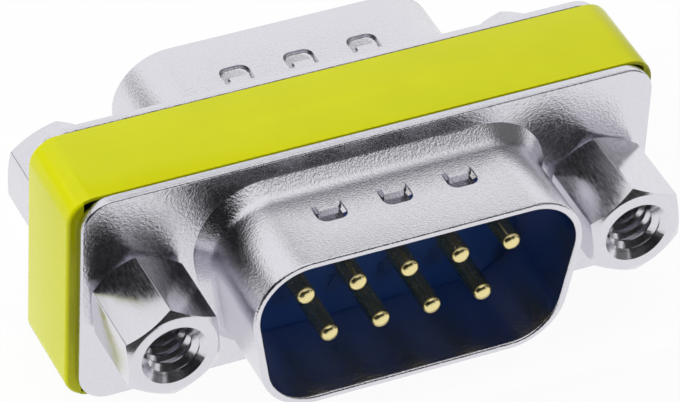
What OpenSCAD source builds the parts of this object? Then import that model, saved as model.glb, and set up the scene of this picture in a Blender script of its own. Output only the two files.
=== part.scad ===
// Slim adapter that joins two 9-way D-sub plugs back to back.
// X runs along the flanges, Y out of the rear plug, Z up. The origin is under the middle of the
// band, on the surface that the adapter stands on.

/* [Flanges] */
// Length of each flange
flange_w = 30.81; // [29:0.01:34]
// Height of each flange
flange_h = 12.55; // [12.2:0.01:14]
// Corner radius of each flange
flange_r = 1.65; // [0.6:0.05:3]
// Thickness of the flange sheet
flange_t = 0.5; // [0.35:0.05:0.8]
// Rounding of the flange's front edge
flange_edge_r = 0.1; // [0.05:0.01:0.15]
// Distance between the two jackscrews
hole_pitch = 24.99; // [24.5:0.01:26]
// Diameter of the flange holes
hole_d = 3.05; // [3:0.01:3.4]
// Distance between the two flanges
body_gap = 5.15; // [4.6:0.05:8]

/* [D shrouds] */
// Inside width of the D, across its wide side
d_w = 16.92; // [16:0.01:17.5]
// Inside height of the D
d_h = 8.36; // [8:0.01:8.8]
// Inside corner radius of the D
d_r = 2.6; // [2:0.05:3]
// Slope of the D's short sides
d_slope = 10; // [5:0.5:15]
// Wall thickness of the drawn shroud
wall_t = 0.4; // [0.3:0.05:0.55]
// Height of the shroud above its flange
shroud_len = 5.87; // [5:0.01:7]
// Rounding of the rim at the mouth
rim_r = 0.14; // [0.05:0.01:0.14]
// Radius of the flare at the shroud's root
root_r = 0.65; // [0.3:0.05:0.9]
// Height of the coined step that the flare stands on
root_step = 0.15; // [0.05:0.01:0.2]
// Width of the coined step
root_land = 0.1; // [0.05:0.01:0.3]

/* [Contact dimples] */
// Number of dimples along the wide side
dimple_count = 3; // [1:1:3]
// Distance between dimples
dimple_pitch = 3.5; // [2.5:0.1:4]
// Depth of a dimple at its sheared end
dimple_depth = 0.5; // [0.3:0.05:0.6]
// Length of a dimple, from its sheared end to where it runs out
dimple_len = 1.3; // [1:0.05:2]
// Radius of the punch that makes a dimple
dimple_r = 0.95; // [0.7:0.05:1.2]
// Thickness of the sheet pushed inwards under a dimple
dimple_skin = 0.3; // [0.2:0.05:0.4]
// Distance from the flange face to the dimples' sheared ends
dimple_set = 2.05; // [1.8:0.05:3]
// Width of the tongue that stays level over each dimple
tongue_w = 1.05; // [0.5:0.05:1.2]
// Length of that tongue
tongue_len = 0.4; // [0.2:0.05:0.6]

/* [Contacts] */
// Diameter of a pin
pin_d = 1.0; // [0.9:0.01:1.1]
// Distance between pins in a row
pin_pitch = 2.77; // [2.7:0.01:2.8]
// Distance between the two rows
row_gap = 2.84; // [2.8:0.01:3]
// Depth of the pin tips below the shroud's rim
tip_recess = 1.0; // [0.6:0.01:2]
// Diameter of the tail that enters the board
tail_d = 0.6; // [0.4:0.05:0.8]
// Depth of the tail in the board
tail_len = 0.6; // [0.3:0.05:0.7]

/* [Insulators] */
// Depth of the insulator's face below the shroud's rim
face_depth = 5.45; // [4.5:0.05:5.8]
// Distance from the insulator's ends to the screw threads
insulator_side = 0.875; // [0.5:0.025:1.2]
// Distance from the insulator's long edges to the flanges' edges
insulator_inset = 0.675; // [0.4:0.025:0.9]
// Corner radius of the insulator's flange
insulator_r = 1.2; // [0.5:0.1:2]
// Gap between the insulator and the shroud's wall
insulator_clear = 0.05; // [0.02:0.01:0.15]
// Gap between a pin and its hole
pin_clear = 0.02; // [0.01:0.01:0.05]

/* [Circuit board] */
// Distance from the board's edges to the insulator's edges
board_inset = 0.6; // [0.2:0.1:2]
// Thickness of the board
board_t = 1.6; // [1.6:0.1:2]
// Corner radius of the board
board_r = 0.5; // [0.2:0.1:1]
// Gap between a pin's tail and its hole
tail_clear = 0.05; // [0.02:0.01:0.1]

/* [Band] */
// Reach of the band past each end of the flanges
band_overhang = 0.545; // [0.3:0.005:1]
// Height of the band above the flanges
band_rise = 0.05; // [0.02:0.01:0.2]
// Corner radius of the band
band_r = 2; // [1.2:0.1:3]
// Thickness of the band's sheet
band_t = 0.25; // [0.2:0.05:0.4]
// Reach of the lips folded inwards at the band's ends
lip_reach = 0.85; // [0.6:0.05:1.1]
// Outer radius of the lips' fold
fold_r = 0.2; // [0.1:0.05:0.25]
// Width of the butt joint under the band
seam_w = 0.1; // [0.05:0.01:0.3]

/* [Jackscrews] */
// Width across the flats of the hex posts
hex_af = 4.76; // [4.5:0.01:5.2]
// Height of the hex posts
post_len = 4.83; // [4:0.01:6]
// Outer diameter of the flat ring at each end of a post
post_ring_d = 4.55; // [4.2:0.05:5]
// Angle of the turned chamfers, measured from the post's end
chamfer_slope = 30; // [15:5:45]
// Outer diameter of the screw thread
thread_d = 2.84; // [2.5:0.01:2.9]
// Diameter of the countersink at a socket's mouth
countersink_d = 3.45; // [3.2:0.05:3.8]
// Depth of a jackscrew's socket
socket_len = 3.4; // [2.5:0.1:4]
// Diameter of a stud, at the middle of its thread
stud_d = 2.4; // [2.2:0.05:2.45]
// Length of a stud inside its nut
stud_grip = 2; // [1.5:0.1:2.5]
// Gap between a stud and its hole in the nut
stud_clear = 0.05; // [0.02:0.01:0.08]
// Gap between a stud's end and the nut's outer socket
stud_gap = 0.2; // [0.1:0.05:0.4]
// Turn of the front left, front right, rear left and rear right posts
post_turns = [4, 7, 2, -5]; // [-30:1:30]

/* [Hidden] */
$fn = 64;
PIN_COUNT = 9;
WIDE_ROW = 5;
ARC_STEPS = 6;
RIM_STEPS = 3;
CORNER_STEPS = 8;

nickel = "#c9cace";
insulator_blue = "#17345f";
gold = "#d9b23c";
board_green = "#2f5d3a";
band_yellow = "#c8ce05";

// Outlines that follow the flanges and the screws
band_w = flange_w + 2 * band_overhang;
band_h = flange_h + 2 * band_rise;
insulator_w = hole_pitch - thread_d - 2 * insulator_side;
insulator_h = flange_h - 2 * insulator_inset;
board_w = insulator_w - 2 * board_inset;
board_h = insulator_h - 2 * board_inset;

// Height of the plugs' axis, and the stations along it, counted outwards from the mid plane
axis_z = band_h / 2;
back_z = body_gap / 2;
front_z = back_z + flange_t;
mouth_z = front_z + shroud_len;
face_z = mouth_z - face_depth;
tip_z = mouth_z - tip_recess;
board_z = board_t / 2;
dimple_z = front_z + dimple_set;
d_outer_y = d_h / 2 + wall_t;
// Centre of the flare's arc, measured outwards from the shroud's inner wall and along the axis
flare_u = wall_t + root_r;
flare_z = front_z + root_step + root_r;
// The inside of the flare ends at bend_z, and the swept section ends inside the flange sheet
bend_z = flare_z - root_r - wall_t;
foot_z = (back_z + bend_z) / 2;
lip_x = band_w / 2 - lip_reach;
// How far the flange sheet reaches under the flare
flange_lap = 0.02;
eps = 0.01;

// Points along an arc, for the edges of a section
function arc(u, z, r, from_a, to_a, steps = ARC_STEPS) =
    [for (i = [0:steps]) let (a = from_a + (to_a - from_a) * i / steps) [u + r * cos(a), z + r * sin(a)]];

// An outline is a list of corners in counter-clockwise order. Each corner holds its centre, the
// angle at which its arc starts, the arc's sweep, and the length of the straight side before it.
function rect_corners(w, h, r) = [
    [w / 2 - r, h / 2 - r, 0, 90, h - 2 * r],
    [r - w / 2, h / 2 - r, 90, 90, w - 2 * r],
    [r - w / 2, r - h / 2, 180, 90, h - 2 * r],
    [w / 2 - r, r - h / 2, 270, 90, w - 2 * r]];

// The D has its wide side up, and its short sides slope inwards towards the bottom
d_top_x = d_w / 2 - d_r;
d_drop = d_h - 2 * d_r;
d_bottom_x = d_top_x - d_drop * tan(d_slope);
D_CORNERS = [
    [d_top_x, d_drop / 2, -d_slope, 90 + d_slope, d_drop / cos(d_slope)],
    [-d_top_x, d_drop / 2, 90, 90 + d_slope, 2 * d_top_x],
    [-d_bottom_x, -d_drop / 2, 180 + d_slope, 90 - d_slope, d_drop / cos(d_slope)],
    [d_bottom_x, -d_drop / 2, 270, 90 - d_slope, 2 * d_bottom_x]];
FLANGE_CORNERS = rect_corners(flange_w, flange_h, flange_r);
BAND_CORNERS = rect_corners(band_w, band_h, band_r);

// Filled outline whose corners have radius r
module outline(corners, r) {
    for (c = corners) translate([c[0], c[1]]) circle(r);
    polygon([for (c = corners) for (a = [c[2], c[2] + c[3]]) [c[0] + r * cos(a), c[1] + r * sin(a)]]);
}

// Carries a section round an outline. The section's X points outwards from the line at corner
// radius r, and its Y along the plug's axis.
module sweep(corners, r) {
    for (c = corners) translate([c[0], c[1], 0]) rotate([0, 0, c[2]]) {
        rotate_extrude(angle = c[3]) translate([r, 0]) children();
        translate([r, 0, 0]) rotate([90, 0, 0]) linear_extrude(c[4]) children();
    }
}

// A plug is drawn with X across it, Y up and Z out of its mouth, from the adapter's mid plane
module at_front() translate([0, 0, axis_z]) rotate([90, 0, 0]) children();
module at_rear() rotate([0, 0, 180]) at_front() children();

module slab(from_z, to_z) translate([0, 0, from_z]) linear_extrude(to_z - from_z) children();

// Pins 1 to 5 are in the wide row, 6 to 9 in the other, counted from the left at the mouth
function pin_row_x(i, count) = (i - (count - 1) / 2) * pin_pitch;
function pin_place(n) = n <= WIDE_ROW
    ? [pin_row_x(n - 1, WIDE_ROW), row_gap / 2]
    : [pin_row_x(n - WIDE_ROW - 1, PIN_COUNT - WIDE_ROW), -row_gap / 2];

// Rim of the flange, whose front edge is rounded by the blanking punch
module flange_rim_section() {
    inner_u = -2 * flange_edge_r;
    polygon(concat([[inner_u, back_z], [0, back_z]],
        arc(-flange_edge_r, front_z - flange_edge_r, flange_edge_r, 0, 90), [[inner_u, front_z]]));
}

module flange_plate() {
    slab(back_z, front_z) outline(FLANGE_CORNERS, flange_r - 2 * flange_edge_r);
    sweep(FLANGE_CORNERS, flange_r) flange_rim_section();
}

// Points round the D, u outside its inner wall, with every corner drawn in short chords
function d_ring(u) = [for (c = D_CORNERS) for (i = [0:CORNER_STEPS])
    let (a = c[2] + c[3] * i / CORNER_STEPS) [c[0] + (d_r + u) * cos(a), c[1] + (d_r + u) * sin(a)]];

// Section of the drawn sheet: coined step, flare, straight wall and rounded rim
SHROUD_SECTION = concat(
    [[flare_u, foot_z], [flare_u + root_land, foot_z], [flare_u + root_land, front_z + root_step]],
    arc(flare_u, flare_z, root_r, 270, 180),
    arc(wall_t - rim_r, mouth_z - rim_r, rim_r, 0, 90, RIM_STEPS),
    arc(rim_r, mouth_z - rim_r, rim_r, 90, 180, RIM_STEPS),
    arc(flare_u, flare_z, root_r + wall_t, 180, 270));

// Drawn sheet round the D: one ring of points for every point of the section
module shroud() {
    rings = [for (p = SHROUD_SECTION) [for (q = d_ring(p[0])) [q[0], q[1], p[1]]]];
    count = len(rings[0]);
    polyhedron(
        points = [for (ring = rings) each ring],
        faces = [for (i = [0:len(rings) - 1]) for (j = [0:count - 1])
            let (next_i = (i + 1) % len(rings), next_j = (j + 1) % count)
            [i * count + j, next_i * count + j, next_i * count + next_j, i * count + next_j]]);
}

// Tilted round punch that presses a dimple, deepest at the sheared end
module dimple_punch(grow) {
    translate([0, d_outer_y - dimple_depth, dimple_z])
        rotate([-atan(dimple_depth / dimple_len), 0, 0])
            translate([0, dimple_r, -dimple_r]) cylinder(r = dimple_r + grow, h = dimple_len + 2 * dimple_r);
}

// Block from the dimple's sheared end to the mouth side, below height top_y
module dimple_zone(start_z, top_y) {
    translate([-2 * dimple_r, top_y - 2 * dimple_r, start_z])
        cube([4 * dimple_r, 2 * dimple_r, 2 * dimple_len]);
}

module dimple_hollow() {
    difference() {
        intersection() {
            dimple_punch(0);
            dimple_zone(dimple_z, d_outer_y + dimple_r);
        }
        translate([-tongue_w / 2, d_outer_y - wall_t, dimple_z - eps])
            cube([tongue_w, wall_t, tongue_len + eps]);
    }
}

module dimple_boss() {
    intersection() {
        dimple_punch(dimple_skin);
        dimple_zone(dimple_z - dimple_skin, d_h / 2 + eps);
    }
}

module dimple_places() for (i = [0:dimple_count - 1])
    translate([(i - (dimple_count - 1) / 2) * dimple_pitch, 0, 0]) children();

module shell() color(nickel) difference() {
    union() {
        difference() {
            flange_plate();
            slab(0, mouth_z) polygon(d_ring(flare_u - flange_lap));
        }
        shroud();
        dimple_places() dimple_boss();
    }
    dimple_places() dimple_hollow();
    for (s = [-1, 1]) translate([s * hole_pitch / 2, 0, 0]) cylinder(d = hole_d, h = mouth_z);
}

module insulator() color(insulator_blue) difference() {
    union() {
        slab(board_z, back_z) outline(rect_corners(insulator_w, insulator_h, insulator_r), insulator_r);
        slab(back_z - eps, face_z) outline(D_CORNERS, d_r - insulator_clear);
    }
    for (n = [1:PIN_COUNT]) translate(pin_place(n)) cylinder(d = pin_d + 2 * pin_clear, h = mouth_z);
}

module pin(n) color(gold) translate(pin_place(n)) {
    translate([0, 0, board_z]) cylinder(d = pin_d, h = tip_z - pin_d / 2 - board_z);
    translate([0, 0, tip_z - pin_d / 2]) sphere(d = pin_d);
    translate([0, 0, board_z - tail_len]) cylinder(d = tail_d, h = tail_len + eps);
}

module circuit_board() color(board_green) at_front() difference() {
    slab(-board_z, board_z) outline(rect_corners(board_w, board_h, board_r), board_r);
    for (side = [0, 180]) rotate([0, side, 0]) for (n = [1:PIN_COUNT])
        translate([pin_place(n)[0], pin_place(n)[1], board_z - tail_len])
            cylinder(d = tail_d + 2 * tail_clear, h = board_t);
}

// The middle of the band, which has no lips
module band_middle() translate([-lip_x, -band_h, -body_gap]) cube([2 * lip_x, 2 * band_h, 2 * body_gap]);

// What the fold takes off the outer edge of a band end
module fold_section() {
    out = 2 * eps;
    polygon(concat(arc(-fold_r, back_z - fold_r, fold_r, 0, 90),
        [[-fold_r, back_z + out], [out, back_z + out], [out, back_z - fold_r]]));
}

// One lip at each end, on the front side of the band
module band_lips() slab(back_z - band_t, back_z) difference() {
    outline(BAND_CORNERS, band_r - band_t / 2);
    square([2 * lip_x, 2 * band_h], center = true);
}

module band() color(band_yellow) at_front() difference() {
    union() {
        sweep(BAND_CORNERS, band_r) translate([-band_t, -back_z]) square([band_t, body_gap]);
        for (side = [0, 180]) rotate([0, side, 0]) band_lips();
    }
    for (side = [0, 180]) rotate([0, side, 0]) difference() {
        sweep(BAND_CORNERS, band_r) fold_section();
        band_middle();
    }
    translate([-seam_w / 2, -band_h, -body_gap]) cube([seam_w, band_h - d_r, 2 * body_gap]);
}

// Hex bar with a turned chamfer at both ends, from Z = 0 up
module hex_post(turn) {
    bar_r = hex_af;
    chamfer = (bar_r - post_ring_d / 2) * tan(chamfer_slope);
    intersection() {
        rotate([0, 0, 90 + turn]) cylinder(r = hex_af / sqrt(3), h = post_len, $fn = 6);
        rotate_extrude() polygon([[0, 0], [post_ring_d / 2, 0], [bar_r, chamfer],
            [bar_r, post_len - chamfer], [post_ring_d / 2, post_len], [0, post_len]]);
    }
}

// Threaded socket that opens at the outer end of a post
module socket(len) {
    sink = (countersink_d - thread_d) / 2;
    translate([0, 0, post_len - len]) cylinder(d = thread_d, h = len + eps);
    translate([0, 0, post_len - sink]) cylinder(d1 = thread_d, d2 = countersink_d, h = sink);
}

module jackscrew(side, turn) color(nickel) translate([side * hole_pitch / 2, 0, front_z]) {
    difference() {
        hex_post(turn);
        socket(socket_len);
    }
    translate([0, 0, -2 * front_z - stud_grip]) cylinder(d = stud_d, h = 2 * front_z + stud_grip + eps);
}

module jack_nut(side, turn) color(nickel) translate([side * hole_pitch / 2, 0, front_z]) difference() {
    hex_post(turn);
    socket(post_len - stud_grip - stud_gap);
    translate([0, 0, -eps]) cylinder(d = stud_d + 2 * stud_clear, h = post_len);
}

at_front() shell();  // front_shell
at_rear() shell();  // rear_shell
at_front() insulator();  // front_insulator
at_rear() insulator();  // rear_insulator
circuit_board();
band();
at_front() jackscrew(-1, post_turns[0]);  // front_left_jackscrew
at_front() jackscrew(1, post_turns[1]);  // front_right_jackscrew
at_rear() jack_nut(1, post_turns[2]);  // rear_left_jack_nut
at_rear() jack_nut(-1, post_turns[3]);  // rear_right_jack_nut
for (n = [1:PIN_COUNT]) {
    at_front() pin(n);
    at_rear() pin(n);
}
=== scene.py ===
"""Looks of a slim adapter that joins two 9-way D plugs back to back.

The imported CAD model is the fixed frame. Shells, band, hex posts, contact pins, insulator faces
and moulded numerals are modelled here in millimetres and settled into the frame in metres.
The CAD's insulators and circuit board stay as they are and get their finishes.
"""

from __future__ import annotations

import logging
import math
from dataclasses import dataclass, field, replace
from enum import Enum
from typing import Callable, Sequence

import bmesh
import bpy
from mathutils import Euler, Matrix, Vector

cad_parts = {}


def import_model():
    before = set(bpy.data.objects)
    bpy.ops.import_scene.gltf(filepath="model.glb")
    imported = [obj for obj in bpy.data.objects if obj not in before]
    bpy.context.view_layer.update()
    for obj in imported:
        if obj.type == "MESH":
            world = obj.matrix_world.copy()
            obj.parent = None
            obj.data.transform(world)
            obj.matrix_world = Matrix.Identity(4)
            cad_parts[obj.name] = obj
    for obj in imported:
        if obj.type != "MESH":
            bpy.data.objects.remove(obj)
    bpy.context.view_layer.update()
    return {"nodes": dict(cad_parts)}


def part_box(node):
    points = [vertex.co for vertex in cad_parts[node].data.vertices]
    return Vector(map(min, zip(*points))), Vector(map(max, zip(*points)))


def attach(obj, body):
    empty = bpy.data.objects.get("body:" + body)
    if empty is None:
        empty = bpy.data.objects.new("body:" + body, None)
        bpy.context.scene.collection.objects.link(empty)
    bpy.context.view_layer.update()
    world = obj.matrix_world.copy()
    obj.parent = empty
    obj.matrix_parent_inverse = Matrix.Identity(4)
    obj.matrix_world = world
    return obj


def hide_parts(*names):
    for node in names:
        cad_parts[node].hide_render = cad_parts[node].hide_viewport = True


LOG = logging.getLogger("adapter")
MM = 0.001
WELD = 1e-4  # vertices nearer than this are merged, in millimetres
TOUCH = 1e-3  # what lies nearer than this counts as in the same place, in millimetres
BODY = "root"
PIN_COUNT = 9
CENTRE = (0.0, 0.0, 0.006)  # what the lamps and cards face, in metres
Piece = bpy.types.Object
NodeTree = bpy.types.NodeTree
NodeSocket = bpy.types.NodeSocket
Point = tuple[float, float, float]
Section = list[tuple[float, float]]


class End(Enum):
    """The two plugs of the adapter. The value turns the front plug's pieces to that end."""

    FRONT = 0.0
    REAR = 180.0

    @property
    def word(self) -> str:
        """The end's name as the CAD nodes spell it."""
        return self.name.lower()


class Bench:
    """The workbench: pieces are modelled on it in millimetres, with Blender's own operators."""

    @staticmethod
    def clear() -> None:
        """Leaves nothing selected."""
        if bpy.context.mode != "OBJECT":
            bpy.ops.object.mode_set(mode="OBJECT")
        bpy.ops.object.select_all(action="DESELECT")

    @staticmethod
    def hold(piece: Piece) -> None:
        """Makes one piece the only one selected.

        Args:
            piece: the piece.
        """
        Bench.clear()
        piece.select_set(True)
        bpy.context.view_layer.objects.active = piece

    @staticmethod
    def edit(piece: Piece) -> None:
        """Opens a piece in edit mode with nothing in it selected.

        Args:
            piece: the piece.
        """
        Bench.hold(piece)
        bpy.ops.object.mode_set(mode="EDIT")
        bpy.ops.mesh.select_all(action="DESELECT")

    @staticmethod
    def chain(points: Sequence[Point], piece: Piece | None = None) -> Piece:
        """Draws a chain of edges from point to point and leaves it selected in edit mode.

        Args:
            points: the chain's corners, in millimetres.
            piece: an open piece that the chain is added to, or None for a new one.

        Returns:
            The piece that holds the chain.
        """
        if piece is None:
            Bench.clear()
        else:
            bpy.ops.mesh.select_all(action="DESELECT")
        bpy.ops.mesh.primitive_plane_add(size=1.0)
        if piece is None:
            piece = bpy.context.object
            bpy.ops.object.mode_set(mode="EDIT")
        bpy.ops.mesh.select_mode(type="VERT")
        bpy.ops.mesh.merge(type="CENTER")
        bpy.ops.transform.translate(value=points[0])
        for a, b in zip(points, points[1:]):
            step = Vector(b) - Vector(a)
            bpy.ops.mesh.extrude_vertices_move(TRANSFORM_OT_translate={"value": step})
        Bench.pick_points(piece, points)
        return piece

    @staticmethod
    def pick_points(piece: Piece, points: Sequence[Point]) -> None:
        """Selects the open piece's vertices that lie on given points, and the edges between."""
        Bench.pick(piece, verts=lambda v: any((v.co - Vector(p)).length < TOUCH for p in points))

    @staticmethod
    def pick_rim(piece: Piece, depth: float) -> None:
        """Selects the open piece's free edges at one distance in front of the mid plane.

        Args:
            piece: the piece.
            depth: the distance, in millimetres.
        """
        Bench.pick(
            piece,
            edges=lambda e: e.is_boundary and all(abs(v.co.y + depth) < TOUCH for v in e.verts),
        )

    @staticmethod
    def pick(
        piece: Piece,
        verts: Callable[[bmesh.types.BMVert], bool] | None = None,
        edges: Callable[[bmesh.types.BMEdge], bool] | None = None,
        faces: Callable[[bmesh.types.BMFace], bool] | None = None,
    ) -> None:
        """Selects the vertices, edges or faces of an open piece that pass a test.

        Args:
            piece: the piece, in edit mode.
            verts: a test of a vertex.
            edges: a test of an edge.
            faces: a test of a face.
        """
        bpy.ops.mesh.select_all(action="DESELECT")
        kind = "VERT" if verts else "EDGE" if edges else "FACE"
        bpy.ops.mesh.select_mode(type=kind)
        mesh = bmesh.from_edit_mesh(piece.data)
        for part, test in ((mesh.verts, verts), (mesh.edges, edges), (mesh.faces, faces)):
            for item in part if test else ():
                item.select_set(bool(test(item)))
        mesh.select_flush_mode()
        bmesh.update_edit_mesh(piece.data)

    @staticmethod
    def merge() -> None:
        """Merges the open piece's doubled vertices and turns its faces outwards."""
        bpy.ops.mesh.select_all(action="SELECT")
        bpy.ops.mesh.remove_doubles(threshold=WELD)
        bpy.ops.mesh.normals_make_consistent(inside=False)

    @staticmethod
    def modify(piece: Piece, kind: str, **settings: object) -> None:
        """Adds a modifier to a piece and applies it.

        Args:
            piece: the piece.
            kind: the modifier's type.
            **settings: its settings by name.
        """
        Bench.hold(piece)
        modifier = piece.modifiers.new(kind.lower(), kind)
        for name, value in settings.items():
            setattr(modifier, name, value)
        bpy.ops.object.modifier_apply(modifier=modifier.name)

    @staticmethod
    def combine(piece: Piece, tool: Piece, operation: str) -> None:
        """Unites, cuts or intersects a piece with a tool, and puts the tool away.

        Args:
            piece: the piece that is kept.
            tool: the other solid, which is removed.
            operation: UNION, DIFFERENCE or INTERSECT.
        """
        Bench.modify(piece, "BOOLEAN", object=tool, operation=operation, solver="EXACT")
        Bench.discard(tool)

    @staticmethod
    def block(low: Point, high: Point) -> Piece:
        """Makes a rectangular cutter between two corners.

        Args:
            low: its lowest corner.
            high: its highest corner.

        Returns:
            The cutter.
        """
        size = Vector(high) - Vector(low)
        Bench.clear()
        bpy.ops.mesh.primitive_cube_add(size=1.0, location=(Vector(low) + Vector(high)) / 2)
        piece = bpy.context.object
        piece.scale = size
        bpy.ops.object.transform_apply(location=True, rotation=True, scale=True)
        return piece

    @staticmethod
    def discard(piece: Piece) -> None:
        """Removes a piece and its mesh.

        Args:
            piece: the piece.
        """
        mesh = piece.data
        bpy.data.objects.remove(piece)
        bpy.data.meshes.remove(mesh)

    @staticmethod
    def join(pieces: Sequence[Piece]) -> Piece:
        """Joins pieces into the first one.

        Args:
            pieces: the pieces.

        Returns:
            The first one, which holds them all.
        """
        Bench.hold(pieces[0])
        for piece in pieces[1:]:
            piece.select_set(True)
        bpy.ops.object.join()
        return pieces[0]

    @staticmethod
    def copy(piece: Piece) -> Piece:
        """Copies a piece with a mesh of its own.

        Args:
            piece: the piece.

        Returns:
            The copy.
        """
        Bench.hold(piece)
        bpy.ops.object.duplicate(linked=False)
        return bpy.context.object

    @staticmethod
    def place(piece: Piece, at: Point = (0, 0, 0), turn: Point = (0, 0, 0)) -> None:
        """Turns a piece about its origin, moves it, and writes that into its mesh.

        Args:
            piece: the piece, in millimetres.
            at: where its origin goes.
            turn: its turn about X, Y and Z in degrees.
        """
        Bench.hold(piece)
        piece.matrix_world = (
            Matrix.Translation(at) @ Euler([math.radians(a) for a in turn]).to_matrix().to_4x4()
        )
        bpy.ops.object.transform_apply(location=True, rotation=True, scale=True)

    @staticmethod
    def settle(piece: Piece, name: str, smooth: float) -> None:
        """Turns a finished piece from millimetres into metres, names it and smooths it.

        Args:
            piece: the finished piece.
            name: its name.
            smooth: the angle in degrees up to which edges are smooth.
        """
        Bench.hold(piece)
        piece.matrix_world = Matrix.Scale(MM, 4)
        bpy.ops.object.transform_apply(location=True, rotation=True, scale=True)
        bpy.ops.object.shade_smooth_by_angle(angle=math.radians(smooth))
        piece.name = piece.data.name = name

    @staticmethod
    def sheet(name: str, size: tuple[float, float], at: Point = (0, 0, 0)) -> Piece:
        """Lays a flat rectangle of the studio, which faces up.

        Args:
            name: its name.
            size: its size along X and Y, in metres.
            at: where its middle is, in metres.

        Returns:
            The sheet.
        """
        Bench.clear()
        bpy.ops.mesh.primitive_plane_add(size=1.0, location=at)
        piece = bpy.context.object
        piece.name = name
        piece.scale = (*size, 1)
        return piece


def box_mm(node: str) -> tuple[Vector, Vector]:
    """The lowest and highest corner of a CAD node's box, in millimetres."""
    low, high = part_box(node)
    return low / MM, high / MM


def arc(
    centre: tuple[float, float], radius: float, start: float, end: float, steps: int
) -> Section:
    """Points along an arc in a section's plane.

    Args:
        centre: the arc's centre.
        radius: its radius.
        start: the angle of its first point, in degrees.
        end: the angle of its last point, in degrees.
        steps: the number of chords.

    Returns:
        The points, steps + 1 of them.
    """
    angles = [math.radians(start + (end - start) * i / steps) for i in range(steps + 1)]
    return [(centre[0] + radius * math.cos(a), centre[1] + radius * math.sin(a)) for a in angles]


def revolve(profile: Section, steps: int = 64) -> Piece:
    """Spins a half section of radius and height about Z into a closed solid.

    Args:
        profile: the half section's points, which start and end on the axis.
        steps: the number of chords round the axis.

    Returns:
        The solid.
    """
    piece = Bench.chain([(r, 0, z) for r, z in profile])
    bpy.ops.mesh.spin(steps=steps, angle=math.tau, center=(0, 0, 0), axis=(0, 0, 1))
    Bench.merge()
    Bench.clear()
    return piece


@dataclass(frozen=True)
class Corner:
    """One round corner of an outline, seen from the front: its centre, start angle and sweep."""

    x: float
    z: float
    start: float
    sweep: float


@dataclass(frozen=True)
class Outline:
    """A closed outline with round corners, in order round it, and the radius of its corners."""

    corners: tuple[Corner, ...]
    radius: float

    @staticmethod
    def rectangle(width: float, height: float, radius: float, axis_z: float) -> "Outline":
        """A rounded rectangle about the plugs' axis.

        Args:
            width: its size along X.
            height: its size along Z.
            radius: the radius of its corners.
            axis_z: the height of its centre.

        Returns:
            The outline.
        """
        x, z = width / 2 - radius, height / 2 - radius
        places = ((x, z, 0), (-x, z, 90), (-x, -z, 180), (x, -z, 270))
        return Outline(tuple(Corner(a, axis_z + b, c, 90) for a, b, c in places), radius)

    @staticmethod
    def dee(width: float, height: float, radius: float, slope: float, axis_z: float) -> "Outline":
        """The D of the plug, with its wide side up.

        Args:
            width: its inside width across the wide side.
            height: its inside height.
            radius: the inside radius of its corners.
            slope: the lean of its short sides in degrees.
            axis_z: the height of its centre.

        Returns:
            The outline.
        """
        z = height / 2 - radius
        top = width / 2 - radius
        low = top - 2 * z * math.tan(math.radians(slope))
        places = (
            (top, z, -slope, 90 + slope),
            (-top, z, 90, 90 + slope),
            (-low, -z, 180 + slope, 90 - slope),
            (low, -z, 270, 90 - slope),
        )
        return Outline(tuple(Corner(a, axis_z + b, c, d) for a, b, c, d in places), radius)

    def sweep(
        self, section: Section, steps: int, piece: Piece | None = None, closed: bool = False
    ) -> Piece:
        """Carries a section round the outline by spins at its corners and straight extrusions.

        Args:
            section: points given as distance outside the outline and distance in front of the
                adapter's mid plane.
            steps: the number of chords at each corner.
            piece: an open piece that the sweep is added to, or None for a new one.
            closed: whether the section's last point joins its first.

        Returns:
            The piece, open in edit mode.
        """
        first = self.corners[0]
        a = math.radians(first.start)
        reach = [(self.radius + u, w) for u, w in section]
        points = [(first.x + r * math.cos(a), -w, first.z + r * math.sin(a)) for r, w in reach]
        piece = Bench.chain(points, piece)
        if closed:
            Bench.pick_points(piece, (points[0], points[-1]))
            bpy.ops.mesh.edge_face_add()
            Bench.pick_points(piece, points)
        for here, there in zip(self.corners, self.corners[1:] + self.corners[:1]):
            angle, centre = math.radians(here.sweep), (here.x, 0, here.z)
            bpy.ops.mesh.spin(steps=steps, angle=angle, center=centre, axis=(0, 1, 0))
            run = (there.x - here.x, 0, there.z - here.z)
            bpy.ops.mesh.extrude_edges_move(TRANSFORM_OT_translate={"value": run})
        return piece


def srgb(code: str) -> tuple[float, float, float, float]:
    """Turns an sRGB hex colour into the linear values that Blender's sockets take.

    Args:
        code: the colour as #rrggbb.

    Returns:
        Red, green, blue and alpha.
    """
    parts = [int(code[i : i + 2], 16) / 255 for i in (1, 3, 5)]
    linear = [c / 12.92 if c <= 0.04045 else ((c + 0.055) / 1.055) ** 2.4 for c in parts]
    return (*linear, 1.0)


def add_node(
    tree: NodeTree,
    kind: str,
    settings: dict[str | int, object] | None = None,
    links: dict[str | int, NodeSocket] | None = None,
) -> bpy.types.Node:
    """Adds a node to a tree.

    Args:
        tree: the tree.
        kind: the node's type.
        settings: values of its own properties by name, or of its inputs by name or number
            where no property has that name.
        links: sockets that feed its inputs, by the input's name or number.

    Returns:
        The node.
    """
    node = tree.nodes.new(kind)
    for name, value in (settings or {}).items():
        if not isinstance(name, int) and hasattr(node, name):
            setattr(node, name, value)
    for name, value in (settings or {}).items():
        if isinstance(name, int) or (name in node.inputs and not hasattr(node, name)):
            node.inputs[name].default_value = value
    for name, socket in (links or {}).items():
        tree.links.new(socket, node.inputs[name])
    return node


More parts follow.
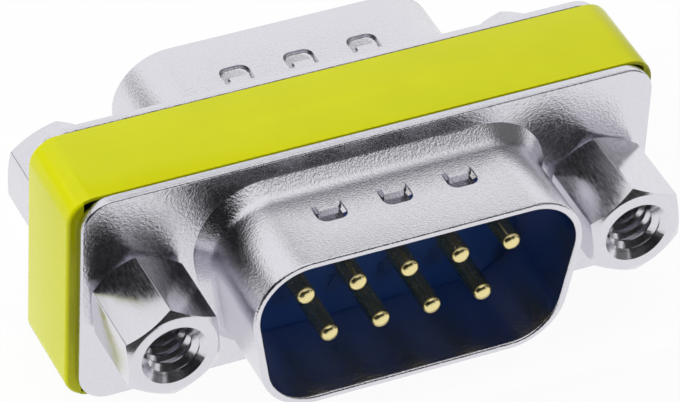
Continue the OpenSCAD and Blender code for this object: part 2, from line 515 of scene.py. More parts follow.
@dataclass(frozen=True)
class Finish:
    """A finish of the adapter: a name and the shader of a procedural material."""

    name: str

    def make(self) -> bpy.types.Material:
        """Makes the material, or gives the one made before.

        Returns:
            The material.
        """
        made = bpy.data.materials.get(self.name)
        if made:
            return made
        material = bpy.data.materials.new(self.name)
        material.use_nodes = True
        tree = material.node_tree
        tree.nodes.clear()
        output = tree.nodes.new("ShaderNodeOutputMaterial")
        tree.links.new(self.shade(tree), output.inputs["Surface"])
        return material

    def shade(self, tree: NodeTree) -> NodeSocket:
        """Builds the shader and returns its socket."""
        raise NotImplementedError

    def dress(self, piece: Piece) -> None:
        """Gives a piece this finish all over.

        Args:
            piece: the piece.
        """
        material = self.make()
        if not piece.data.materials:
            piece.data.materials.append(material)
        for slot in piece.material_slots:
            slot.material = material


@dataclass(frozen=True)
class Pattern:
    """A noise pattern: the size of its cells and its relief in mm, and its node's settings."""

    size_mm: float
    height_mm: float = 0.0
    detail: float = 2.0
    roughness: float = 0.5
    distortion: float = 0.0


@dataclass(frozen=True)
class Surface(Finish):
    """A finish whose tone, roughness and relief follow noise patterns.

    The pattern that the field tint counts off mixes the two colours, and the roughness where
    that varies. Each pattern with a height is a bump on top of the one before it.
    """

    colour: str
    shade_colour: str
    patterns: tuple[Pattern, ...]
    rough: tuple[float, float]
    tint: int = 0
    rough_span: tuple[float, float] = (0.0, 1.0)
    stretch: Point | None = None
    metallic: float = 0.0
    ior: float = 1.5
    specular: float = 0.5

    def shade(self, tree: NodeTree) -> NodeSocket:
        """Builds the shader.

        Args:
            tree: the material's tree.

        Returns:
            The shader's socket.
        """
        place = add_node(tree, "ShaderNodeTexCoord").outputs["Object"]
        if self.stretch:
            scaled = add_node(tree, "ShaderNodeMapping", {"Scale": self.stretch}, {"Vector": place})
            place = scaled.outputs["Vector"]
        noises = []
        for pattern in self.patterns:
            settings = {
                "Scale": 1 / (pattern.size_mm * MM),
                "Detail": pattern.detail,
                "Roughness": pattern.roughness,
                "Distortion": pattern.distortion,
            }
            noise = add_node(tree, "ShaderNodeTexNoise", settings, {"Vector": place})
            noises.append(noise.outputs["Fac"])
        tone = add_node(
            tree,
            "ShaderNodeMix",
            {"data_type": "RGBA", 6: srgb(self.shade_colour), 7: srgb(self.colour)},
            {"Factor": noises[self.tint]},
        )
        settings = {"Metallic": self.metallic, "IOR": self.ior, "Specular IOR Level": self.specular}
        links = {"Base Color": tone.outputs[2]}
        low, high = self.rough
        if low == high:
            settings["Roughness"] = low
        else:
            first, last = self.rough_span
            span = {"From Min": first, "From Max": last, "To Min": low, "To Max": high}
            rough = add_node(tree, "ShaderNodeMapRange", span, {"Value": noises[self.tint]})
            links["Roughness"] = rough.outputs["Result"]
        for pattern, noise in zip(self.patterns, noises):
            if pattern.height_mm:
                relief = {"Strength": 1.0, "Distance": pattern.height_mm * MM}
                below = {"Normal": links["Normal"]} if "Normal" in links else {}
                bump = add_node(tree, "ShaderNodeBump", relief, {"Height": noise, **below})
                links["Normal"] = bump.outputs["Normal"]
        return add_node(tree, "ShaderNodeBsdfPrincipled", settings, links).outputs["BSDF"]


# The grain of drawn steel shows through its plate and breaks the reflections into a fine speckle
# about a tenth of a millimetre across. It is drawn a little coarser than that so that it shows.
SHELL_NICKEL = Surface(
    "nickel_plate_over_drawn_steel",
    colour="#e4e3ea",
    shade_colour="#d3d2d8",
    patterns=(Pattern(1.6, 0.01), Pattern(0.12, 0.022, detail=3.0, roughness=0.6)),
    rough=(0.09, 0.19),
    tint=1,
    rough_span=(0.3, 0.7),
    metallic=1.0,
)
# Turned bar is smoother below its plate: clear reflections, a little drawn out along the bar.
POST_NICKEL = replace(
    SHELL_NICKEL,
    name="nickel_plate_over_turned_bar",
    patterns=(Pattern(1.6, 0.01), Pattern(0.12, 0.003, detail=3.0, roughness=0.6)),
    rough=(0.12, 0.24),
    stretch=(1.0, 0.25, 1.0),
)
# Hard gold over turned brass: pale, even, with small soft highlights.
CONTACT_GOLD = replace(
    SHELL_NICKEL,
    name="hard_gold_plate_over_turned_brass",
    colour="#f2e6b0",
    shade_colour="#e8d793",
    patterns=(Pattern(0.6, 0.002), Pattern(0.1, 0.001, detail=3.0, roughness=0.6)),
    rough=(0.2, 0.28),
)
# Glass-filled polyester from a spark-eroded mould: satin, with faint flow marks.
INSULATOR_BLUE = Surface(
    "moulded_glass_filled_polyester_blue",
    colour="#0a50b0",
    shade_colour="#074294",
    patterns=(Pattern(2.5, detail=3.0, distortion=0.6), Pattern(0.12, 0.004)),
    rough=(0.34, 0.48),
    ior=1.57,
)
# Solder resist, which lies over the weave of the board: soft gloss, slightly cloudy.
BOARD_GREEN = replace(
    INSULATOR_BLUE,
    name="solder_resist_over_glass_epoxy_green",
    colour="#2f6a3c",
    shade_colour="#20512b",
    patterns=(Pattern(2.5, detail=3.0, distortion=0.6), Pattern(0.4, 0.004)),
    rough=(0.24, 0.38),
)
# Stoved enamel on thin sheet: wet gloss with a slight ripple under a clear surface.
BAND_YELLOW = Surface(
    "stoved_gloss_enamel_yellow_green",
    colour="#d8da00",
    shade_colour="#cccf00",
    patterns=(Pattern(3.5, 0.012),),
    rough=(0.14, 0.14),
    specular=0.2,
)


def hand_in(
    piece: Piece,
    name: str,
    finish: Finish,
    node: str | None = None,
    smooth: float = 35.0,
) -> Piece:
    """Settles a finished piece in the frame, dresses it and hides the CAD node that it replaces.

    Args:
        piece: the finished piece, in millimetres.
        name: its name.
        finish: its finish.
        node: the CAD node that it replaces, if it does.
        smooth: the angle in degrees up to which edges are smooth.

    Returns:
        The piece.
    """
    Bench.settle(piece, name, smooth)
    finish.dress(piece)
    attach(piece, BODY)
    if node:
        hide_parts(node)
    return piece


@dataclass(frozen=True)
class Stations:
    """Stations of the adapter along its axis and up, in millimetres, taken from the CAD."""

    axis_z: float
    back: float
    front: float
    mouth: float
    post_tip: float
    face: float

    @staticmethod
    def of_frame() -> "Stations":
        """Reads the stations off the CAD nodes' boxes.

        Returns:
            The stations.
        """
        shell_low, shell_high = box_mm("front_shell")
        post_low, _ = box_mm("front_left_jackscrew")
        insulator_low, _ = box_mm("front_insulator")
        band_low, band_high = box_mm("band")
        return Stations(
            axis_z=(band_low.z + band_high.z) / 2,
            back=-shell_high.y,
            front=-shell_high.y + DrawnShell.flange_t,
            mouth=-shell_low.y,
            post_tip=-post_low.y,
            face=-insulator_low.y,
        )


@dataclass
class DrawnShell:
    """A plug's shell, drawn from one steel sheet: flange, flare, D shroud and pressed dimples."""

    at: Stations
    flange_w: float = 30.81
    flange_h: float = 12.55
    flange_r: float = 1.65
    flange_edge_r: float = 0.1
    flange_t: float = 0.5
    hole_pitch: float = 24.99
    hole_r: float = 1.525
    d_w: float = 16.92
    d_h: float = 8.36
    d_r: float = 2.6
    d_slope: float = 10.0
    wall_t: float = 0.4
    rim_r: float = 0.14
    root_r: float = 0.65
    root_step: float = 0.15
    flare_r: float = 1.0
    flare_lean: float = 37.0
    crease: float = 1.05
    crease_soft: float = 0.06
    corner_steps: int = 18
    dimple_pitch: float = 3.5
    dimple_count: int = 3
    dimple_w: float = 1.62
    dimple_len: float = 1.25
    dimple_depths: tuple[float, float] = (0.5, 0.2)
    dimple_corner_r: float = 0.5
    dimple_floor_r: float = 0.14
    dimple_skin: float = 0.3
    dimple_set: float = 2.05
    tongue_w: float = 1.05
    tongue_len: float = 0.4
    tear_w: float = 0.22
    tear_len: float = 1.0
    tear_x: float = 0.66
    tear_lean: float = 32.0

    def dee(self) -> Outline:
        """The D outline of the shroud's inner wall."""
        return Outline.dee(self.d_w, self.d_h, self.d_r, self.d_slope, self.at.axis_z)

    def shroud_section(self) -> Section:
        """The sheet's section from the flange's front face over the rim to its back face.

        Returns:
            The section's points.
        """
        lean = math.radians(self.flare_lean)
        cone_u = self.crease - self.wall_t - self.flare_r * (1 - math.cos(lean))
        flare_w = self.at.front + self.flare_r * math.sin(lean) + cone_u / math.tan(lean)
        flare = (self.wall_t + self.flare_r, flare_w)
        root = (self.wall_t + self.root_r, self.at.front + self.root_step + self.root_r)
        rim = self.at.mouth - self.rim_r
        soft = self.crease_soft
        section = [
            (self.crease + soft, self.at.front),
            (self.crease, self.at.front + 0.2 * soft),
            (self.crease - soft * math.tan(lean), self.at.front + soft),
        ]
        section += arc(flare, self.flare_r, 180 + self.flare_lean, 180, 8)
        section += arc((self.wall_t - self.rim_r, rim), self.rim_r, 0, 90, 4)
        section += arc((self.rim_r, rim), self.rim_r, 90, 180, 4)
        section += arc(root, self.root_r + self.wall_t, 180, 270, 10)
        return section + [(root[0], self.at.back)]

    def rim_section(self) -> Section:
        """The section of the flange's blanked edge, from its front face to its back face.

        Returns:
            The section's points.
        """
        r = self.flange_edge_r
        section = arc((-r, self.at.front - r), r, 90, 0, 4)
        return section + [(0, self.at.back + 0.03), (-0.03, self.at.back)]

    def add_holes(self) -> None:
        """Adds the walls of the two screw holes to the shell that is open in edit mode."""
        for side in (-1, 1):
            bpy.ops.mesh.select_all(action="DESELECT")
            bpy.ops.mesh.primitive_circle_add(
                vertices=48,
                radius=self.hole_r,
                location=(side * self.hole_pitch / 2, -self.at.front, self.at.axis_z),
                rotation=(math.pi / 2, 0, 0),
            )
            bpy.ops.mesh.extrude_edges_move(
                TRANSFORM_OT_translate={"value": (0, self.at.front - self.at.back, 0)}
            )

    def blank(self) -> Piece:
        """Models the drawn sheet without its dimples.

        Returns:
            The blank, which faces the front.
        """
        piece = self.dee().sweep(self.shroud_section(), self.corner_steps)
        edge = Outline.rectangle(self.flange_w, self.flange_h, self.flange_r, self.at.axis_z)
        edge.sweep(self.rim_section(), 12, piece)
        self.add_holes()
        bpy.ops.mesh.select_all(action="SELECT")
        bpy.ops.mesh.remove_doubles(threshold=WELD)
        for depth in (self.at.front, self.at.back):
            Bench.pick_rim(piece, depth)
            bpy.ops.mesh.fill(use_beauty=True)
        Bench.merge()
        Bench.clear()
        return piece

    def punch(self, grow: float) -> Piece:
        """The punch that presses a dimple: square where it shears, round at its far end.

        Args:
            grow: how much it is larger than the dimple on each side.

        Returns:
            The punch, for the dimple in the middle of the wide side.
        """
        wall_z = self.at.axis_z + self.d_h / 2 + self.wall_t
        shear_y = -(self.at.front + self.dimple_set)
        half = self.dimple_w / 2 + grow
        far_y = shear_y - self.dimple_len - grow
        near = 0.01
        deep, shallow = (wall_z - depth - grow for depth in self.dimple_depths)
        top = wall_z - self.wall_t + near if grow else wall_z + 1
        low = (-half, far_y, shallow)
        piece = Bench.block(low, (half, shear_y + grow, top))
        Bench.edit(piece)
        Bench.pick(piece, verts=lambda v: v.co.y > shear_y - near and v.co.z < top - near)
        bpy.ops.transform.translate(value=(0, 0, deep - shallow))
        Bench.pick(
            piece,
            edges=lambda e: all(v.co.y < far_y + near for v in e.verts)
            and abs(e.verts[0].co.x - e.verts[1].co.x) < near,
        )
        bpy.ops.mesh.bevel(offset=self.dimple_corner_r + grow, segments=8, affect="EDGES")
        Bench.pick(
            piece,
            edges=lambda e: all(v.co.z < top - near for v in e.verts)
            and any(v.co.y < shear_y + grow - near for v in e.verts),
        )
        bpy.ops.mesh.bevel(
            offset=self.dimple_floor_r + grow / 2, segments=4, affect="EDGES", clamp_overlap=True
        )
        Bench.merge()
        Bench.clear()
        return piece

    def hollow(self) -> Piece:
        """What a dimple takes out of the sheet: a scoop under a level tongue, and a tear.

        Returns:
            The cutter, for the dimple in the middle.
        """
        wall_z = self.at.axis_z + self.d_h / 2 + self.wall_t
        shear_y = -(self.at.front + self.dimple_set)
        scoop = self.punch(0)
        tongue = Bench.block(
            (-self.tongue_w / 2, shear_y - self.tongue_len, wall_z - self.wall_t),
            (self.tongue_w / 2, shear_y + 1, wall_z + 1),
        )
        Bench.combine(scoop, tongue, "DIFFERENCE")
        depth = 2.0
        tear = Bench.block(
            (-self.tear_w / 2, shear_y - self.tear_len, -depth),
            (self.tear_w / 2, shear_y - 0.12, 0.3),
        )
        Bench.place(tear, turn=(0, -self.tear_lean, 0))
        Bench.place(tear, at=(self.tear_x, 0, wall_z - 0.1))
        Bench.combine(scoop, tear, "UNION")
        return scoop

    def press_dimples(self, piece: Piece) -> None:
        """Presses the dimples into the wide side of the shroud.

        Args:
            piece: the shell's blank.
        """
        boss, hollow = self.punch(self.dimple_skin), self.hollow()
        for tool, operation in ((boss, "UNION"), (hollow, "DIFFERENCE")):
            for i in range(self.dimple_count):
                stamp = Bench.copy(tool)
                Bench.place(stamp, at=((i - (self.dimple_count - 1) / 2) * self.dimple_pitch, 0, 0))
                Bench.combine(piece, stamp, operation)
            Bench.discard(tool)

    def build(self) -> list[Piece]:
        """Builds the two shells and puts them in the frame.

        Returns:
            The shells.
        """
        front = self.blank()
        self.press_dimples(front)
        shells = []
        for end in End:
            shell = Bench.copy(front)
            Bench.place(shell, turn=(0, 0, end.value))
            name, node = f"{end.word}_drawn_shell", f"{end.word}_shell"
            shells.append(hand_in(shell, name, SHELL_NICKEL, node))
        Bench.discard(front)
        return shells


@dataclass
class EnamelBand:
    """The band round the middle: thin enamelled sheet with lips folded in at its ends."""

    at: Stations
    width: float = 31.6
    height: float = 12.65
    play: float = -0.145
    corner_r: float = 1.42
    sheet_t: float = 0.2
    lip_reach: float = 0.85
    lip_x: float = 15.1
    fold_r: float = 0.2
    edge_r: float = 0.05
    edge_play: float = 0.07
    lip_play: float = 0.02
    overlap: float = 0.01
    hair: float = 0.003
    seam_w: float = 0.1
    corner_steps: int = 14

    def outline(self) -> Outline:
        """The band's outer outline."""
        return Outline.rectangle(self.width, self.height, self.corner_r, self.at.axis_z)

    def plain_section(self) -> Section:
        """The section of the band's middle, a hair thinner than its ends, so no walls coincide.

        Returns:
            The section's points.
        """
        b, t, r = self.at.back - self.edge_play, self.sheet_t - self.hair, self.edge_r
        return (
            arc((-self.hair - r, -b + r), r, 270, 360, 3)
            + arc((-self.hair - r, b - r), r, 0, 90, 3)
            + [(-t, b), (-t, -b)]
        )

    def lipped_section(self) -> Section:
        """The section of the band's ends, with a lip folded in at each edge.

        Returns:
            The section's points.
        """
        b, t = self.at.back - self.lip_play, self.sheet_t
        f, reach = self.fold_r, self.lip_reach
        section: Section = [(-reach, -b + t), (-reach, -b)]
        section += arc((-f, -b + f), f, 270, 360, 6)
        section += arc((-f, b - f), f, 0, 90, 6)
        section += [(-reach, b), (-reach, b - t), (-t, b - t), (-t, -b + t)]
        return section

    def cut(self, piece: Piece, x: float, keep_beyond: bool) -> None:
        """Cuts a piece square across at one place along X.

        Args:
            piece: the piece.
            x: where the cut is.
            keep_beyond: whether the side with the larger X stays.
        """
        Bench.edit(piece)
        bpy.ops.mesh.select_all(action="SELECT")
        sides = {"clear_inner": keep_beyond, "clear_outer": not keep_beyond}
        bpy.ops.mesh.bisect(plane_co=(x, 0, 0), plane_no=(1, 0, 0), use_fill=True, **sides)
        Bench.merge()
        Bench.clear()

    def build(self) -> list[Piece]:
        """Builds the band and puts it in the frame.

        Returns:
            The band, alone in a list.
        """
        lip_x = self.lip_x
        swept = []
        for section in (self.plain_section(), self.lipped_section(), self.lipped_section()):
            piece = self.outline().sweep(section, self.corner_steps, closed=True)
            Bench.merge()
            Bench.place(piece, at=(self.play, 0, 0))
            swept.append(piece)
        band, right, left = swept
        self.cut(band, lip_x + self.overlap, False)
        self.cut(band, -lip_x - self.overlap, True)
        self.cut(right, lip_x, True)
        self.cut(left, -lip_x, False)
        half, depth = self.seam_w / 2, self.at.back + 1
        seam = Bench.block((-half, -depth, -1), (half, depth, 1))
        Bench.combine(band, seam, "DIFFERENCE")
        Bench.combine(band, right, "UNION")
        Bench.combine(band, left, "UNION")
        return [hand_in(band, "enamelled_band", BAND_YELLOW, "band")]


@dataclass
class HexPost:
    """A jackscrew's hex post, or the nut on its other end, with a tapped and countersunk mouth."""

    at: Stations
    pitch: float = 24.99
    across_flats: float = 4.76
    ring_r: float = 2.275
    chamfer: float = 30.0
    major_r: float = 1.42
    minor_r: float = 1.13
    thread_pitch: float = 0.635
    countersink_r: float = 1.725
    bore_lens: dict[End, float] = field(default_factory=lambda: {End.FRONT: 3.4, End.REAR: 2.63})
    edge_r: float = 0.06
    base_chamfer: float = 38.0
    turns: dict[End, tuple[float, float]] = field(
        default_factory=lambda: {End.FRONT: (4, 7), End.REAR: (2, -5)}
    )

    @property
    def length(self) -> float:
        """The height of a post above its flange."""
        return self.at.post_tip - self.at.front

    def hex_bar(self, turn: float) -> Piece:
        """Hex bar with a turned chamfer at both ends, from Z = 0 up.

        Args:
            turn: its turn about its axis in degrees.

        Returns:
            The bar.
        """
        corner_r = self.across_flats / math.sqrt(3)
        outer = 1.3 * corner_r
        rise = (outer - self.ring_r) * math.tan(math.radians(self.chamfer))
        Bench.clear()
        bpy.ops.mesh.primitive_cylinder_add(vertices=6, radius=corner_r, depth=self.length)
        bar = bpy.context.object
        Bench.place(bar, at=(0, 0, self.length / 2), turn=(0, 0, turn))
        Bench.edit(bar)
        Bench.pick(bar, edges=lambda e: abs(e.verts[0].co.z - e.verts[1].co.z) > 1)
        bpy.ops.mesh.bevel(offset=self.edge_r, segments=3, affect="EDGES")
        soft = self.edge_r
        lip = [
            (self.ring_r - soft, 0),
            (self.ring_r, 0.15 * soft),
            (self.ring_r + soft, 0.7 * soft),
        ]
        base_rise = (outer - self.ring_r) * math.tan(math.radians(self.base_chamfer))
        blank = revolve(
            [(0, 0), (self.ring_r, 0), (outer, base_rise), (outer, self.length - rise)]
            + [(r, self.length - z) for r, z in reversed(lip)]
            + [(0, self.length)]
        )
        Bench.combine(bar, blank, "INTERSECT")
        return bar

    def bore(self, piece: Piece, depth: float) -> None:
        """Drills and countersinks the post from its tip.

        Args:
            piece: the post's bar.
            depth: how deep the bore is.
        """
        sink = self.countersink_r - self.major_r
        bottom = self.length - depth
        beyond = 0.05
        drill = revolve(
            [
                (0, bottom),
                (self.major_r, bottom),
                (self.major_r, self.length - sink),
                (self.countersink_r + beyond, self.length + beyond),
                (0, self.length + beyond),
            ]
        )
        Bench.combine(piece, drill, "DIFFERENCE")

    def thread(self, depth: float) -> Piece:
        """The thread's ridge: a V-shaped coil on the bore's wall, cut away by the countersink.

        Args:
            depth: how deep the bore is.

        Returns:
            The ridge, in place in a post that stands on Z = 0.
        """
        base, root_r = self.thread_pitch / 2 * 0.94, self.major_r + 0.02
        crest = self.thread_pitch / 12
        coil = Bench.chain(
            [(root_r, 0, -base), (root_r, 0, base), (self.minor_r, 0, crest)]
            + [(self.minor_r, 0, -crest)]
        )
        bpy.ops.mesh.edge_face_add()
        Bench.clear()
        rounds = int(depth / self.thread_pitch)
        Bench.modify(
            coil,
            "SCREW",
            axis="Z",
            angle=math.tau,
            screw_offset=self.thread_pitch,
            iterations=rounds,
            steps=48,
            render_steps=48,
            use_merge_vertices=False,
        )
        Bench.place(coil, at=(0, 0, self.length - rounds * self.thread_pitch))
        Bench.edit(coil)
        bpy.ops.mesh.select_all(action="SELECT")
        bpy.ops.mesh.remove_doubles(threshold=WELD)
        bpy.ops.mesh.select_all(action="DESELECT")
        bpy.ops.mesh.select_non_manifold()
        bpy.ops.mesh.edge_face_add()
        Bench.merge()
        inside, beyond = 0.1, 0.4
        point = self.length - self.countersink_r + self.minor_r - inside
        cone = revolve(
            [
                (0, point),
                (self.minor_r - inside, point),
                (self.countersink_r + beyond, self.length + beyond),
                (0, self.length + beyond),
            ]
        )
        Bench.combine(coil, cone, "DIFFERENCE")
        return coil

    def build(self) -> list[Piece]:
        """Builds the four posts and puts them in the frame.

        Returns:
            The posts.
        """
        posts = []
        for end in End:
            for side, word, turn in zip((-1, 1), ("left", "right"), self.turns[end]):
                place = f"{end.word}_{word}"
                post = self.hex_bar(turn)
                self.bore(post, self.bore_lens[end])
                post = Bench.join([post, self.thread(self.bore_lens[end])])
                Bench.place(post, at=(0, -self.at.front, 0), turn=(90, 0, 0))
                x = side * self.pitch / 2 * (1 if end is End.FRONT else -1)
                Bench.place(post, at=(x, 0, self.at.axis_z))
                Bench.place(post, turn=(0, 0, end.value))
                node = f"{place}_jackscrew" if end is End.FRONT else f"{place}_jack_nut"
                name = f"{place}_hex_post"
                posts.append(hand_in(post, name, POST_NICKEL, node, 32))
        return posts


@dataclass
class TurnedPin:
    """A contact pin, turned from brass: plain shaft, round shoulder and shallow domed tip."""

    shaft_r: float = 0.5
    tail_r: float = 0.3
    tail_len: float = 0.6
    shoulder_r: float = 0.3
    dome_r: float = 0.75
    steps: int = 40

    def profile(self, length: float) -> Section:
        """The pin's half section, as radius and height, from its tail up to its tip.

        Args:
            length: the pin's length.

        Returns:
            The half section.
        """
        reach = self.dome_r - self.shoulder_r
        inset = self.shaft_r - self.shoulder_r
        lean = math.degrees(math.asin(inset / reach))
        shoulder_z = length - self.dome_r + reach * math.cos(math.radians(lean))
        return (
            [(0, 0), (self.tail_r, 0), (self.tail_r, self.tail_len), (self.shaft_r, self.tail_len)]
            + arc((inset, shoulder_z), self.shoulder_r, 0, 90 - lean, 8)
            + arc((0, length - self.dome_r), self.dome_r, 90 - lean, 90, 6)[1:]
        )

    def build(self) -> list[Piece]:
        """Turns one pin, copies it to every contact and puts the copies in the frame.

        Returns:
            The pins.
        """
        low, high = box_mm("front_pin_1")
        master = revolve(self.profile(high.y - low.y), self.steps)
        Bench.place(master, at=(0, high.y, 0), turn=(90, 0, 0))
        pins = []
        for end in End:
            for n in range(1, PIN_COUNT + 1):
                node = f"{end.word}_pin_{n}"
                low, high = box_mm(node)
                pin = Bench.copy(master)
                Bench.place(pin, turn=(0, 0, end.value))
                Bench.place(pin, at=((low.x + high.x) / 2, 0, (low.z + high.z) / 2))
                name = f"{end.word}_turned_pin_{n}"
                pins.append(hand_in(pin, name, CONTACT_GOLD, node))
        Bench.discard(master)
        return pins


@dataclass
class InsulatorFace:
    """The insulator's face, which fills the shroud from wall to wall round the pins."""

    shell: DrawnShell
    gap: float = -0.01  # below zero, so the face reaches a little into the wall
    proud: float = 0.01
    spread: float = 18.0
    corner_steps: int = 18

    def section(self) -> Section:
        """The section of the face's rim, which follows the shell's inner flare to its back.

        Returns:
            The section's points.
        """
        shell = self.shell
        front = shell.at.face + self.proud
        flare_r = shell.root_r + shell.wall_t
        flare_w = shell.at.front + shell.root_step + shell.root_r
        lean = math.degrees(math.asin((flare_w - front) / flare_r))
        start = 180 + lean
        return arc((flare_r - self.gap, flare_w), flare_r, start, start + self.spread, 5)

    def build(self) -> list[Piece]:
        """Builds the faces of both insulators and puts them in the frame.

        Returns:
            The faces.
        """
        section = self.section()
        master = self.shell.dee().sweep(section, self.corner_steps)
        bpy.ops.mesh.select_all(action="SELECT")
        bpy.ops.mesh.remove_doubles(threshold=WELD)
        for _, depth in (section[0], section[-1]):
            Bench.pick_rim(master, depth)
            bpy.ops.mesh.edge_face_add()
        Bench.merge()
        Bench.clear()
        faces = []
        for end in End:
            face = Bench.copy(master)
            Bench.place(face, turn=(0, 0, end.value))
            name = f"{end.word}_insulator_face"
            faces.append(hand_in(face, name, INSULATOR_BLUE))
        Bench.discard(master)
        return faces


@dataclass
class PinNumerals:
    """The numerals moulded on an insulator's face, one beside each pin."""

    at: Stations
    size: float = 0.95
    rise: float = 0.04
    offset: tuple[float, float] = (-0.78, -0.95)

    def numeral(self, n: int, x: float, z: float) -> Piece:
        """Makes one numeral as a mesh that stands on the front insulator's face.

        Args:
            n: the number.
            x: where its middle is.
            z: where its foot is.

        Returns:
            The numeral.
        """
        Bench.clear()
        bpy.ops.object.text_add()
        text = bpy.context.object
        text.data.body = str(n)
        text.data.size = self.size
        text.data.extrude = self.rise
        text.data.resolution_u = 4
        text.data.align_x = "CENTER"
        bpy.ops.object.convert(target="MESH")
        solid = bpy.context.object
        Bench.edit(solid)
        Bench.merge()
        Bench.place(solid, at=(x, -self.at.face, z), turn=(90, 0, 0))
        return solid

    def build(self) -> list[Piece]:
        """Builds the numerals of both insulators and puts them in the frame.

        Returns:
            The numerals, one piece for each end.
        """
        made = []
        for end in End:
            row = []
            for n in range(1, PIN_COUNT + 1):
                low, high = box_mm(f"{end.word}_pin_{n}")
                x = (low.x + high.x) / 2 * (1 if end is End.FRONT else -1)
                z = (low.z + high.z) / 2
                row.append(self.numeral(n, x + self.offset[0], z + self.offset[1]))
            piece = Bench.join(row)
            Bench.place(piece, turn=(0, 0, end.value))
            name = f"{end.word}_moulded_numerals"
            made.append(hand_in(piece, name, INSULATOR_BLUE, smooth=30))
        return made


@dataclass
class KeptNodes:
    """The CAD nodes that show as they are: insulators and circuit board."""

    nodes: dict[str, Piece]

    def dress(self) -> None:
        """Gives each of them its finish."""
        BOARD_GREEN.dress(self.nodes["circuit_board"])
        for end in End:
            INSULATOR_BLUE.dress(self.nodes[f"{end.word}_insulator"])


@dataclass(frozen=True)
class StudioWhite(Finish):
    """Seamless white paper: it shows plain white, and keeps a faint shadow."""

    colour: str = "#f4f4f4"
    shadow: float = 0.06

    def shade(self, tree: NodeTree) -> NodeSocket:
        """Builds the shader.

        Args:
            tree: the material's tree.

        Returns:
            The shader's socket.
        """
        path = add_node(tree, "ShaderNodeLightPath")
        settings = {"Color": srgb(self.colour), "Roughness": 0.5}
        paper = add_node(tree, "ShaderNodeBsdfDiffuse", settings)
        glow = add_node(tree, "ShaderNodeEmission", {"Color": srgb("#ffffff"), "Strength": 1.0})
        rays = {0: path.outputs["Is Camera Ray"], 1: path.outputs["Is Glossy Ray"]}
        seen = add_node(tree, "ShaderNodeMath", {"operation": "MAXIMUM"}, rays)
        settings = {"operation": "MULTIPLY", 1: 1 - self.shadow}
        share = add_node(tree, "ShaderNodeMath", settings, {0: seen.outputs[0]})
        links = {"Fac": share.outputs[0], 1: paper.outputs[0], 2: glow.outputs[0]}
        return add_node(tree, "ShaderNodeMixShader", {}, links).outputs[0]


@dataclass(frozen=True)
class DarkCard(Finish):
    """Dark card of the kind that is held round bright metal so that it has something to reflect."""

    level: float = 0.05

    def shade(self, tree: NodeTree) -> NodeSocket:
        """Builds the shader and returns its socket."""
        settings = {"Color": (self.level,) * 3 + (1.0,), "Strength": 1.0}
        return add_node(tree, "ShaderNodeEmission", settings).outputs[0]


@dataclass(frozen=True)
class Card:
    """A dark card: where its middle is seen from the adapter, its size and how dark it is."""

    name: str
    azimuth: float
    elevation: float
    width: float
    height: float
    level: float
    distance: float = 0.3


CARDS = (
    Card("camera_side_card", -130, 24, 0.8, 0.32, 0.02),
    Card("front_card", 164, 28, 0.24, 0.26, 0.03),
    Card("right_card", 102, 30, 0.3, 0.32, 0.16),
    Card("overhead_card", 42, 60, 0.26, 0.07, 0.4),
    Card("rear_left_card", -48, 14, 0.14, 0.12, 0.35),
)


@dataclass(frozen=True)
class Mat:
    """A dark sheet on the paper: its size and middle in metres, and how dark it is."""

    name: str
    size: tuple[float, float]
    at: Point
    level: float
    mirrored: bool = True


# The felt keeps the paper's light off the adapter's front, and reflections don't show it.
MATS = (
    Mat("floor_card", (0.188, 0.3), (-0.104, -0.172, 0.0001), 0.06),
    Mat("front_felt", (0.3, 0.3), (0, -0.16, 0.0002), 0.02, mirrored=False),
)


@dataclass(frozen=True)
class Lamp:
    """A lamp, in metres and watts. It is a softbox if it has a size, and otherwise a spot.

    The reach is the radius of the spot's pool of light where it is aimed.
    """

    name: str
    at: Point
    power: float
    size: tuple[float, float] | None = None
    aim: Point = CENTRE
    reach: float = 0.0
    blend: float = 0.6
    soft: float = 0.02


LAMPS = (
    Lamp("top_softbox", (0.05, 0.12, 0.45), 1.85, size=(0.6, 0.6)),
    Lamp("left_softbox", (-0.4, -0.05, 0.2), 1.4, size=(0.25, 0.3)),
    Lamp("mouth_spot", (0.05, -0.29, 0.07), 0.8, aim=(0, -0.0035, 0.0063), reach=0.012),
)


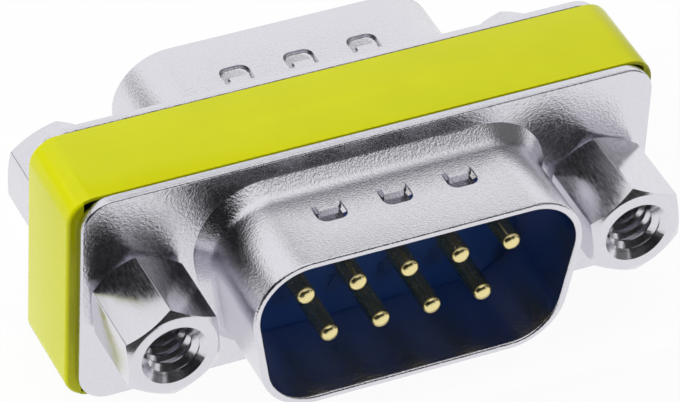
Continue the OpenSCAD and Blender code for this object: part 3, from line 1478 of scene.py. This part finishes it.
@dataclass
class Studio:
    """Paper, plain light, lamps, dark cards and camera."""

    paper_size: tuple[float, float] = (1.6, 1.6)
    room_light: float = 0.24
    camera_at: Point = (-0.0865835, -0.1723948, 0.1671316)
    camera_turn: Point = (50.08442, -2.56172, -24.48691)
    lens: float = 265.865
    sensor: float = 36.0
    clip: tuple[float, float] = (0.01, 10.0)

    def floor(self) -> None:
        """Lays the paper that the adapter stands on."""
        paper = Bench.sheet("studio_floor", self.paper_size)
        StudioWhite("seamless_white_paper").dress(paper)

    def world(self) -> None:
        """Surrounds the adapter with plain light, white where it is seen."""
        world = bpy.data.worlds.new("studio_world")
        bpy.context.scene.world = world
        world.use_nodes = True
        tree = world.node_tree
        tree.nodes.clear()
        path = add_node(tree, "ShaderNodeLightPath")
        seen = path.outputs["Is Camera Ray"]
        for ray in ("Is Glossy Ray", "Is Transmission Ray"):
            links = {0: seen, 1: path.outputs[ray]}
            seen = add_node(tree, "ShaderNodeMath", {"operation": "MAXIMUM"}, links).outputs[0]
        mixed = add_node(tree, "ShaderNodeMixShader", {}, {"Fac": seen})
        for number, strength in ((1, self.room_light), (2, 1.0)):
            settings = {"Color": srgb("#ffffff"), "Strength": strength}
            light = add_node(tree, "ShaderNodeBackground", settings)
            tree.links.new(light.outputs[0], mixed.inputs[number])
        add_node(tree, "ShaderNodeOutputWorld", {}, {"Surface": mixed.outputs[0]})

    def hang(self, lamp: Lamp) -> None:
        """Hangs a lamp that neither the camera nor a reflection sees.

        Args:
            lamp: the lamp.
        """
        way = Vector(lamp.aim) - Vector(lamp.at)
        light = bpy.data.lights.new(lamp.name, "AREA" if lamp.size else "SPOT")
        light.energy = lamp.power
        if lamp.size:
            light.shape = "RECTANGLE"
            light.size, light.size_y = lamp.size
        else:
            light.spot_size = 2 * math.atan(lamp.reach / way.length)
            light.spot_blend = lamp.blend
            light.shadow_soft_size = lamp.soft
        hung = bpy.data.objects.new(lamp.name, light)
        hung.location = lamp.at
        hung.rotation_euler = way.to_track_quat("-Z", "Y").to_euler()
        hung.visible_camera = hung.visible_glossy = False
        bpy.context.scene.collection.objects.link(hung)

    def hold_up(self, card: Card) -> None:
        """Holds up a dark card that faces the adapter.

        Args:
            card: the card.
        """
        a, e = math.radians(card.azimuth), math.radians(card.elevation)
        way = Vector((math.sin(a) * math.cos(e), math.cos(a) * math.cos(e), math.sin(e)))
        at = Vector(CENTRE) + way * card.distance
        piece = Bench.sheet(card.name, (card.width, card.height), at)
        piece.rotation_euler = way.to_track_quat("Z", "Y").to_euler()
        self.darken(piece, card.level)

    def darken(self, piece: Piece, level: float) -> None:
        """Makes a sheet a dark one that reflections and soft light see, but not the camera.

        Args:
            piece: the sheet, which casts no shadow of the lamps either.
            level: how dark it is, as linear grey.
        """
        DarkCard(f"{piece.name}_grey", level).dress(piece)
        piece.visible_camera = False
        piece.visible_shadow = False
        piece.visible_transmission = False

    def camera(self) -> None:
        """Sets up the camera."""
        data = bpy.data.cameras.new("camera")
        data.lens = self.lens
        data.sensor_width = self.sensor
        data.clip_start, data.clip_end = self.clip
        camera = bpy.data.objects.new("camera", data)
        camera.location = self.camera_at
        camera.rotation_euler = [math.radians(a) for a in self.camera_turn]
        bpy.context.scene.collection.objects.link(camera)
        bpy.context.scene.camera = camera

    def build(self) -> None:
        """Sets up the whole studio."""
        self.camera()
        self.floor()
        self.world()
        for lamp in LAMPS:
            self.hang(lamp)
        for card in CARDS:
            self.hold_up(card)
        for mat in MATS:
            piece = Bench.sheet(mat.name, mat.size, mat.at)
            self.darken(piece, mat.level)
            if not mat.mirrored:
                piece.visible_glossy = False


def main() -> None:
    """Builds the studio and the adapter's pieces in order."""
    logging.basicConfig(level=logging.INFO, format="%(name)s: %(message)s")
    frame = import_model()
    scene = bpy.context.scene
    scene.view_settings.view_transform = "Standard"
    at = Stations.of_frame()
    LOG.info("stations %s", at)
    Studio().build()
    LOG.info("studio set up")
    assemblies = (
        DrawnShell(at),
        EnamelBand(at),
        HexPost(at),
        TurnedPin(),
        InsulatorFace(DrawnShell(at)),
        PinNumerals(at),
    )
    for assembly in assemblies:
        for piece in assembly.build():
            LOG.info("%s has %d faces", piece.name, len(piece.data.polygons))
    KeptNodes(frame["nodes"]).dress()
    LOG.info("CAD nodes dressed")


if __name__ == "__main__":
    main()
